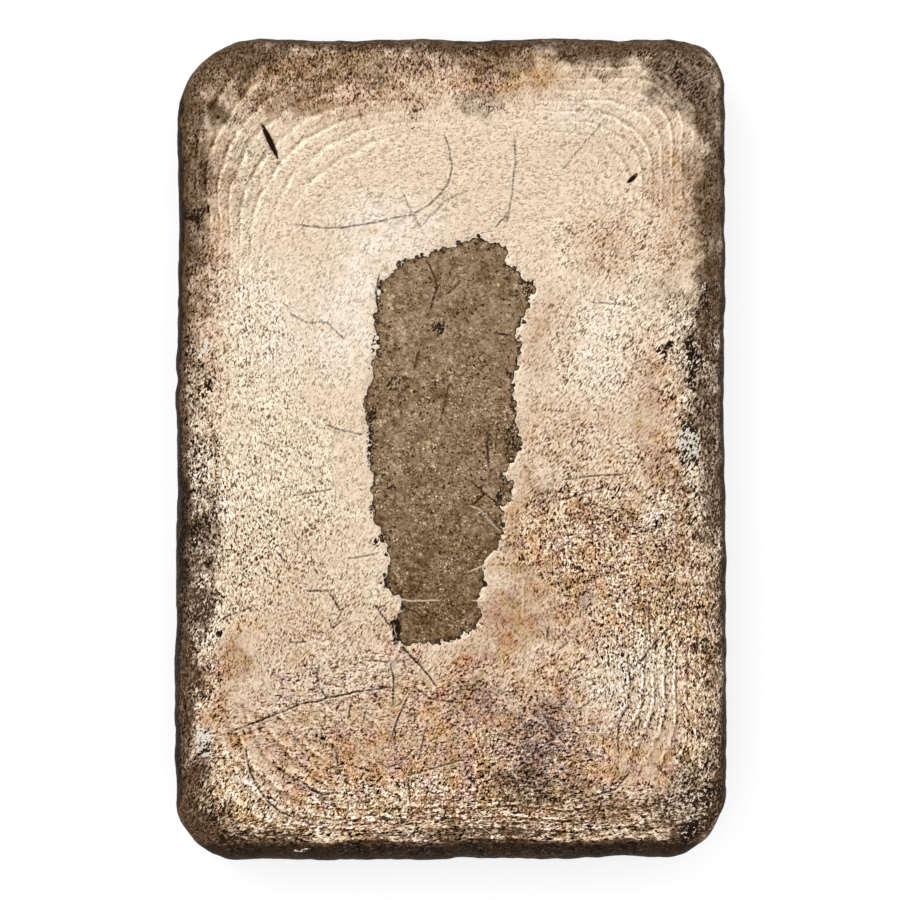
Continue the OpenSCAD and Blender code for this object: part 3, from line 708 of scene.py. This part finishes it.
# Cast silver, toned by age: a soft sheen, cream where it is clean and tan to copper where sulphur has
# browned it, with dark grime in its pits and a dull brown skin on the pool
silverFinish = {
    "colours": {
        "cream": "#e9d3b9", "tan": "#c49d78", "copper": "#bb8a6c", "bright": "#f6e7d6", "plum": "#8d7470",
        "gold": "#cda568", "orange": "#cf9159", "mauve": "#9b7f84", "olive": "#a2915a", "chalk": "#e9dfd0",
        "tarnish": "#5d442c", "crust": "#2a1e15", "pit": "#6e5033", "grime": "#24170c",
        "scratch": "#2a1402", "gouge": "#2c1b0f", "poolBack": "#967c5f", "poolFront": "#7e6447",
        # the dark pool colour is soot in its spots and painted shadow inside the pool's edge
        "poolFleck": "#dcc39c", "poolSootAndShadow": "#2f2216",
    },
    # even patterns: size in mm, octaves, roughness
    "grains": {"mottle": (1.7, 5.0, 0.68), "dots": (0.19, 1.0, 0.9), "hues": (1.7, 0.0, 0.5)},
    # dashes and hairlines: width, length and depth in mm, lean in degrees
    "dashes": {
        "ripple": ((0.46, 0.46, 0.46), 0),
        "streak": ((0.16, 0.3, 0.3), -3),
        "slant": ((0.15, 0.36, 0.3), -34),
        "flat": ((0.38, 0.16, 0.3), 4),
        "hairRight": ((0.09, 2.6, 0.3), 38),
        "hairLeft": ((0.09, 2.6, 0.3), -47),
    },
    "weave": 0.9,            # how much they wind about each other
    "dotShare": 0.35,        # of the dots in the skin, beside the dashes
    "lobeSize": 0.6,         # mm, of the pool's edge
    "fleckSpacing": 0.4,     # mm
    "bump": (0.05, 0.9),     # mm, and strength
    "specular": 0.05,
    "lineCore": 0.05,        # mm to each side where the line of a scratch is full
    "toneGamma": 2.2,        # for steps of light that look even to the eye
    # how far these lighten or darken, where 1 is from black to white
    # painted highlight and shade of the cooling rings
    "ringShade": 0.19,
    "poolShades": {"mottle": 0.48, "ripple": 0.34, "dots": 0.36},
    # how much a pattern weighs where it adds to a mark or to another pattern
    "weights": {
        "speckSkin": 0.6, "veilMottle": 0.7, "veilSkin": -0.2, "chalkSpeck": 1.6, "grimeFill": 0.36,
        "lodgeSpeck": 0.7, "lodgePatch": 0.45, "blackDepth": 2.0, "poolDots": 0.3, "spotDots": 1.5,
        "spotPatch": 2.6,
    },
    "grimeLevel": 0.24,      # depth that grime fills even where there is little of it
    "lodgeLevel": -0.075,
    "lobeShift": 0.13,       # mm by which the lobes move the pool's edge on average
    "leastSpot": 0.06,
    # patches of other tones: tone, channel of the mottling, where it starts and is full, region
    "tonePatches": [
        ("copper", "greens", 0.46, 0.66, "warm"), ("gold", "blues", 0.56, 0.7, "warm"),
        ("plum", "blues", 0.42, 0.3, "warm"), ("bright", "reds", 0.3, 0.55, "bright"),
        ("gold", "greens", 0.4, 0.55, "gold"), ("plum", "greens", 0.62, 0.46, "plum"),
    ],
    # spots of the pool: channels of chance and mottling, mark and its gain, least sum that shows, growth
    "poolSpots": {
        "poolFleck": (0, "greens", "fleck", 1.2, 2.14, 0.6),
        "poolSootAndShadow": (1, "blues", "grime", 0.8, 2.12, 0.6),
    },
    # lines of a scratch: kind, tone, distance from its middle and half width in mm, strength; the bright
    # line beside a dark scratch is a painted highlight
    "scratchLines": [
        ("light", "cream", 0.0, 0.1, 0.85), ("dark", "bright", 0.16, 0.12, 0.4),
        ("dark", "pit", 0.0, 0.17, 0.5), ("dark", "scratch", 0.0, 0.13, 1.0),
    ],
    # shares that follow one pattern: its name, where they start and are full, and their values there
    # where these aren't 0 and 1
    "shares": {
        # painted shade in the pits of the skin and painted highlight on its bumps
        "pits": ("skin", -0.065, -0.175, 0.0, -0.38),
        "bumps": ("skin", 0.02, 0.2, 0.0, 0.16),
        "breaks": ("speck", 0.46, 0.62, 1.0, 0.5),
        "warmth": ("reds", 0.3, 0.7, 0.55, 1.4),
        "crinkle": ("greens", 0.35, 0.65, 0.65, 1.35),
        "ringParts": ("blues", 0.36, 0.6, 0.25, 1.0),
        "lobeGain": ("reds", 0.35, 0.6, 0.8, 1.2),
        "toFront": ("alongBar", 0.0, -16 * mm),
        "gather": ("greens", 0.42, 0.58, 0.2, 1.4),
        "gatherFront": ("alongBar", 12 * mm, 2 * mm, 0.5, 1.2),
        "lightSpecks": ("dots", 0.14, 0.2, 0.0, 0.24),
        "darkSpecks": ("dots", -0.12, -0.2, 0.0, -0.6),
        # where the painted shadow inside the pool's edge and the painted highlight on its lip show
        "outlineParts": ("blues", 0.28, 0.46),
        "lipParts": ("greens", 0.42, 0.58),
    },
    # the same for sums and marks
    "ranges": {
        "hues": (0.52, 0.68, 0.0, 0.32),
        "veil": (0.5, 1.3, 0.0, 0.96),
        "crust": (1.4, 2.1),
        "calm": (1.0, 1.6, 1.0, 0.4),
        "ringLine": (0.66, 0.97),
        "hair": (0.34, 0.27, 0.0, -0.16),
        "chalk": (1.28, 1.45),
        "grime": (-0.02, 0.045),
        "black": (0.3, 0.95),
        "lobes": (0.0, 0.8, -0.08, 0.5),
        "pool": (0.03, -0.03),
        "sootEdge": (-1.4, -0.1, 0.0, 0.36),
        "spot": (0.1, 0.0),
        "spotRise": (0.0, 0.05, 0.0, 0.9),
        # the painted shadow inside the pool's edge and the painted highlight on its lip
        "outline": (-0.3, -0.06),
        "lip": (0.26, 0.05, 0.0, 0.7),
        "waver": (0.3, 0.7, -0.1, 0.1),
        "gouge": (0.06, -0.06),
        "metallic": (0.0, 1.0, 0.75, 0.2),      # from clean metal to dull
        "roughness": (0.0, 1.0, 0.42, 0.6),
    },
}


def makeSilver():
    material = bpy.data.materials.new("tonedCastSilver")
    material.use_nodes = True
    tree = material.node_tree
    tree.nodes.clear()
    add = functools.partial(addNode, tree)
    look = {name: toLinear(value) for name, value in silverFinish["colours"].items()}
    ranges, weights = silverFinish["ranges"], silverFinish["weights"]
    smooth = {"interpolation_type": "SMOOTHSTEP"}
    place = add("TexCoord", output="Object")
    mark = {name: add("Attribute", output="Fac", attribute_name=name) for name in (*toning, *shapeMarks)}

    def coat(colour, coats):
        # lays each colour over the ones before it
        for share, over in coats:
            colour = add("Mix", {0: share, 6: colour, 7: over}, 2, data_type="RGBA")
        return colour

    def toned(colour, change):
        # lightens or darkens in steps that look even to the eye
        soft = add("Gamma", (colour, 1 / silverFinish["toneGamma"]))
        soft = add("VectorMath", (soft, change), operation="ADD")
        soft = add("VectorMath", (soft, (0.0, 0.0, 0.0)), operation="MAXIMUM")
        return add("Gamma", (soft, silverFinish["toneGamma"]))

    # patterns: broad mottling in three channels, dots, and dashes that weave through each other
    grain = {}
    for name, (size, detail, roughness) in silverFinish["grains"].items():
        grain[name] = add("TexNoise", {"Vector": place, "Scale": 1 / (size * mm), "Detail": detail,
                                       "Roughness": roughness})
    mottle = grain["mottle"]
    reds, greens, blues = add("SeparateColor", (mottle.node.outputs["Color"],)).node.outputs
    hues = add("SeparateColor", (grain["hues"].node.outputs["Color"],)).node.outputs
    dots = add("Math", (grain["dots"], 0.5), operation="SUBTRACT")
    dash = {}
    for name, (sizes, lean) in silverFinish["dashes"].items():
        laid = add("Mapping", {"Vector": place, "Rotation": (0, 0, math.radians(lean)),
                               "Scale": [size * mm for size in sizes]}, vector_type="TEXTURE")
        dash[name] = add("TexNoise", {"Vector": laid, "Scale": 1.0, "Detail": 0.0,
                                      "Distortion": silverFinish["weave"]})
    skin = add("Math", (dots, silverFinish["dotShare"]), operation="MULTIPLY")
    for name in dashKinds:
        about = add("Math", (dash[name], 0.5), operation="SUBTRACT")
        skin = add("Math", (about, mark[name], skin), operation="MULTIPLY_ADD")
    speck = add("Math", (skin, weights["speckSkin"], 0.5), operation="MULTIPLY_ADD")
    alongBar = add("SeparateXYZ", (place,), "Y")
    patterns = {"reds": reds, "greens": greens, "blues": blues, "dots": dots, "skin": skin, "speck": speck,
                "alongBar": alongBar}
    shares = {}
    for name, (pattern, *span) in silverFinish["shares"].items():
        shares[name] = add("MapRange", (patterns[pattern], *span), **smooth)
    skinShade = add("Math", (shares["pits"], shares["bumps"]), operation="ADD")

    # the clean metal: cream to tan, with copper, gold, plum and bright patches
    warmth = add("Math", (mark["warm"], shares["warmth"]), operation="MULTIPLY", use_clamp=True)
    coats = [(warmth, look["tan"])]
    for tone, pattern, start, full, region in silverFinish["tonePatches"]:
        share = add("MapRange", (patterns[pattern], start, full), **smooth)
        coats.append((add("Math", (share, mark[region]), operation="MULTIPLY"), look[tone]))

    # specks of many hues where the metal is warm
    for tone, pattern in zip(("orange", "mauve", "olive"), hues):
        share = add("MapRange", (pattern, *ranges["hues"]), **smooth)
        coats.append((add("Math", (share, mark["warm"]), operation="MULTIPLY"), look[tone]))

    # a brown veil of tarnish, which turns to a black crust where it is thickest
    veilSum = add("Math", (mottle, weights["veilMottle"], mark["tarnish"]), operation="MULTIPLY_ADD")
    veilSum = add("Math", (skin, weights["veilSkin"], veilSum), operation="MULTIPLY_ADD")
    veil = add("MapRange", (veilSum, *ranges["veil"]), **smooth)
    crust = add("MapRange", (veilSum, *ranges["crust"]), **smooth)
    colour = coat(look["cream"], coats + [(veil, look["tarnish"]), (crust, look["crust"])])

    # the crinkled skin: painted shade in its pits and painted highlight on its bumps, partly its own
    # speckle, calmer on the crust
    shade = add("Math", (shares["crinkle"], mark["grain"]), operation="MULTIPLY")
    shade = add("Math", (shade, skinShade), operation="MULTIPLY")
    calm = add("MapRange", (veilSum, *ranges["calm"]), **smooth)
    shade = add("Math", (shade, calm), operation="MULTIPLY")

    # the cooling rings as painted highlights on their ridges with painted shade in the troughs beside them,
    # and hairlines
    ringShown = add("Math", (shares["ringParts"], mark["ringShare"]), operation="MULTIPLY")
    for shift, gain in ((0.0, silverFinish["ringShade"]), (0.25, -silverFinish["ringShade"])):
        line = add("Math", (mark["ringPhase"], 2 * math.pi, 2 * math.pi * shift), operation="MULTIPLY_ADD")
        line = add("Math", (line,), operation="COSINE")
        line = add("MapRange", (line, *ranges["ringLine"], 0.0, gain), **smooth)
        shade = add("Math", (line, ringShown, shade), operation="MULTIPLY_ADD")
    for name in ("hairRight", "hairLeft"):
        hair = add("MapRange", (dash[name], *ranges["hair"]), **smooth)
        shade = add("Math", (hair, mark["warm"], shade), operation="MULTIPLY_ADD")
    colour = toned(colour, shade)

    # white mineral spots, broken up by the specks
    chalk = add("Math", (speck, weights["chalkSpeck"], mark["chalk"]), operation="MULTIPLY_ADD")
    chalk = add("MapRange", (chalk, *ranges["chalk"]), **smooth)

    # grime sits in the pits: the more grime, the more of the pits it fills and the darker it is
    grimeHere = add("Math", (mottle, 0.5), operation="ADD")
    grimeHere = add("Math", (grimeHere, mark["grime"]), operation="MULTIPLY")
    lodge = add("Math", (speck, weights["lodgeSpeck"], silverFinish["lodgeLevel"]),
                operation="MULTIPLY_ADD")
    lodge = add("Math", (blues, weights["lodgePatch"], lodge), operation="MULTIPLY_ADD")
    depth = add("Math", (grimeHere, weights["grimeFill"], silverFinish["grimeLevel"]),
                operation="MULTIPLY_ADD")
    depth = add("Math", (depth, lodge), operation="SUBTRACT")
    grime = add("MapRange", (depth, *ranges["grime"]), **smooth)
    black = add("Math", (depth, weights["blackDepth"], grimeHere), operation="MULTIPLY_ADD")
    black = add("MapRange", (black, *ranges["black"]), **smooth)
    grimeColour = coat(look["pit"], [(black, look["grime"])])
    colour = coat(colour, [(chalk, look["chalk"]), (grime, grimeColour)])

    # the pool, with lobes and sharp cusps at its edge
    lobes = add("TexVoronoi", {"Vector": place, "Scale": 1 / (silverFinish["lobeSize"] * mm)})
    lobes = add("MapRange", (lobes, *ranges["lobes"]))
    poolEdge = add("Math", (lobes, shares["lobeGain"], mark["poolEdge"]), operation="MULTIPLY_ADD")
    poolEdge = add("Math", (poolEdge, silverFinish["lobeShift"]), operation="SUBTRACT")
    poolEdge = add("Math", (dots, weights["poolDots"], poolEdge), operation="MULTIPLY_ADD")
    pool = add("MapRange", (poolEdge, *ranges["pool"]), **smooth)

    # its brown skin, darker to the front, with light and dark specks that gather in places
    poolShades = silverFinish["poolShades"]
    poolShade = add("Math", (reds, 0.5), operation="SUBTRACT")
    poolShade = add("Math", (poolShade, poolShades["mottle"]), operation="MULTIPLY")
    ripple = add("Math", (dash["ripple"], 0.5), operation="SUBTRACT")
    poolShade = add("Math", (ripple, poolShades["ripple"], poolShade), operation="MULTIPLY_ADD")
    poolShade = add("Math", (dots, poolShades["dots"], poolShade), operation="MULTIPLY_ADD")
    gather = add("Math", (shares["gather"], shares["gatherFront"]), operation="MULTIPLY")
    for name in ("lightSpecks", "darkSpecks"):
        poolShade = add("Math", (shares[name], gather, poolShade), operation="MULTIPLY_ADD")
    poolColour = coat(look["poolBack"], [(shares["toFront"], look["poolFront"])])
    poolColour = toned(poolColour, poolShade)
    poolCoats = [(grime, grimeColour)]

    # flecks and soot: spots that grow together where there are many
    spots = add("TexVoronoi", {"Vector": place, "Scale": 1 / (silverFinish["fleckSpacing"] * mm)})
    chances = add("SeparateColor", (spots.node.outputs["Color"],)).node.outputs
    spots = add("Math", (dots, weights["spotDots"], spots), operation="MULTIPLY_ADD")
    sootEdge = add("MapRange", (mark["poolEdge"], *ranges["sootEdge"]), **smooth)
    for name, (chance, pattern, region, gain, least, growth) in silverFinish["poolSpots"].items():
        over = add("Math", (mark[region], gain, chances[chance]), operation="MULTIPLY_ADD")
        over = add("Math", (patterns[pattern], weights["spotPatch"], over), operation="MULTIPLY_ADD")
        if name == "poolSootAndShadow":
            over = add("Math", (over, sootEdge), operation="ADD")
        over = add("Math", (over, least), operation="SUBTRACT")
        over = add("Math", (over, 0.0), operation="MAXIMUM")
        reach = add("Math", (over, growth, silverFinish["leastSpot"]), operation="MULTIPLY_ADD")
        spot = add("Math", (spots, reach), operation="SUBTRACT")
        spot = add("MapRange", (spot, *ranges["spot"]), **smooth)
        rise = add("MapRange", (over, *ranges["spotRise"]), **smooth)
        poolCoats.append((add("Math", (spot, rise), operation="MULTIPLY"), look[name]))

    # a painted shadow as a broken black line inside its edge, and a painted highlight on the lip outside
    brim = {}
    for name in ("outline", "lip"):
        line = add("MapRange", (poolEdge, *ranges[name]), **smooth)
        brim[name] = add("Math", (line, shares[name + "Parts"]), operation="MULTIPLY")
    poolColour = coat(poolColour, poolCoats + [(brim["outline"], look["poolSootAndShadow"])])
    coats = [(brim["lip"], look["bright"]), (pool, poolColour)]

    # scratches that waver and break, the dark ones with a faint painted highlight along one side outside
    # the pool
    waver = add("MapRange", (blues, *ranges["waver"]))
    offPool = add("Math", (1.0, pool), operation="SUBTRACT")
    for kind, tone, middle, half, strength in silverFinish["scratchLines"]:
        away = add("Math", (mark[kind + "Side"], waver), operation="ADD")
        away = add("Math", (away, middle), operation="SUBTRACT")
        away = add("Math", (away,), operation="ABSOLUTE")
        line = add("MapRange", (away, half, silverFinish["lineCore"], 0.0, strength), **smooth)
        line = add("Math", (line, mark[kind + "Shown"]), operation="MULTIPLY")
        line = add("Math", (line, shares["breaks"]), operation="MULTIPLY")
        if middle:
            line = add("Math", (line, offPool), operation="MULTIPLY")
        coats.append((line, look[tone]))
    gouge = add("MapRange", (mark["gougeEdge"], *ranges["gouge"]), **smooth)
    colour = coat(colour, coats + [(gouge, look["gouge"])])

    # relief too fine for the mesh
    bumpHeight, bumpStrength = silverFinish["bump"]
    bump = add("Bump", {"Height": skinShade, "Distance": bumpHeight * mm, "Strength": bumpStrength})

    dull = add("Math", (grime, pool), operation="MAXIMUM")
    dull = add("Math", (dull, veil), operation="MAXIMUM")
    metallic = add("MapRange", (dull, *ranges["metallic"]), **smooth)
    roughness = add("MapRange", (dull, *ranges["roughness"]), **smooth)
    surface = add("BsdfPrincipled", {"Base Color": colour, "Metallic": metallic, "Roughness": roughness,
                                     "Specular IOR Level": silverFinish["specular"], "Normal": bump})
    add("OutputMaterial", {"Surface": surface})
    print("silver finished:", len(tree.nodes), "nodes")
    return material


ingot = makeIngot()
ingot.data.materials.append(makeSilver())
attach(ingot, "root")
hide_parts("ingot")


def seenByCamera(tree):
    # 1 for what the camera sees, also in metal and glass, and 0 for what lights the bar
    path = addNode(tree, "LightPath", output="Is Camera Ray")
    seen = path
    for ray in ("Is Glossy Ray", "Is Transmission Ray"):
        seen = addNode(tree, "Math", (seen, path.node.outputs[ray]), operation="MAXIMUM")
    return seen


# A plain white floor that keeps the bar's soft shadow, its half width in metres
floorLook = {"half": 3.0, "paint": "#bcbcbc", "glow": 0.66}


def makeFloor():
    bm = bmesh.new()
    bmesh.ops.create_grid(bm, x_segments=1, y_segments=1, size=floorLook["half"])
    mesh = bpy.data.meshes.new("floor")
    bm.to_mesh(mesh)
    bm.free()
    floor = bpy.data.objects.new("floor", mesh)
    bpy.context.collection.objects.link(floor)
    material = bpy.data.materials.new("whitePaint")
    material.use_nodes = True
    tree = material.node_tree
    tree.nodes.clear()
    strength = addNode(tree, "Math", (seenByCamera(tree), floorLook["glow"]), operation="MULTIPLY")
    glow = addNode(tree, "Emission", {"Color": (1, 1, 1, 1), "Strength": strength})
    paint = addNode(tree, "BsdfDiffuse", {"Color": toLinear(floorLook["paint"])})
    both = addNode(tree, "AddShader", (paint, glow))
    addNode(tree, "OutputMaterial", {"Surface": both})
    mesh.materials.append(material)


# Soft studio light: an even room, brighter overhead, and a soft box at the back left, in metres
studio = {
    "room": 0.45,
    "overhead": 0.96,
    "rise": (0.2, 0.9),      # height on the sky where it begins to brighten, and where it is full
    "boxSize": 0.35,
    "boxPower": 0.8,
    "boxAt": (-0.35, 0.35, 0.45),
}


def makeLight():
    world = bpy.data.worlds.new("studio")
    bpy.context.scene.world = world
    world.use_nodes = True
    tree = world.node_tree
    tree.nodes.clear()
    direction = addNode(tree, "TexCoord", output="Generated")
    up = addNode(tree, "SeparateXYZ", (direction,), "Z")
    level = addNode(tree, "MapRange", (up, *studio["rise"], studio["room"], studio["overhead"]),
                    interpolation_type="SMOOTHSTEP")
    strength = addNode(tree, "Mix", {0: seenByCamera(tree), 2: level, 3: 1.0}, data_type="FLOAT")
    sky = addNode(tree, "Background", {"Color": (1, 1, 1, 1), "Strength": strength})
    addNode(tree, "OutputWorld", {"Surface": sky})
    lamp = bpy.data.lights.new("softBox", "AREA")
    lamp.size = studio["boxSize"]
    lamp.energy = studio["boxPower"]
    box = bpy.data.objects.new("softBox", lamp)
    box.location = studio["boxAt"]
    box.rotation_euler = (-Vector(studio["boxAt"])).to_track_quat("-Z", "Y").to_euler()
    bpy.context.collection.objects.link(box)


# The camera looks down on the free face from just in front of straight above
cameraSet = {
    "distance": 300.0,
    "tilt": 2.0,             # degrees
    "seenWidth": 83.0,
    "aim": (-0.09, -0.16),
    "sensor": 36.0,
    "nearest": 10.0,         # what is nearer isn't shown
}


def makeCamera():
    aim = Vector((*cameraSet["aim"], widest)) * mm
    tilt = math.radians(cameraSet["tilt"])
    back = Vector((0, -math.sin(tilt), math.cos(tilt)))
    lens = bpy.data.cameras.new("camera")
    lens.sensor_width = cameraSet["sensor"]
    lens.lens = cameraSet["sensor"] * cameraSet["distance"] / cameraSet["seenWidth"]
    lens.clip_start = cameraSet["nearest"] * mm
    camera = bpy.data.objects.new("camera", lens)
    camera.location = aim + back * cameraSet["distance"] * mm
    camera.rotation_euler = (tilt, 0, 0)
    bpy.context.collection.objects.link(camera)
    bpy.context.scene.camera = camera


makeFloor()
makeLight()
makeCamera()
bpy.context.scene.view_settings.view_transform = "Standard"
print("studio set")
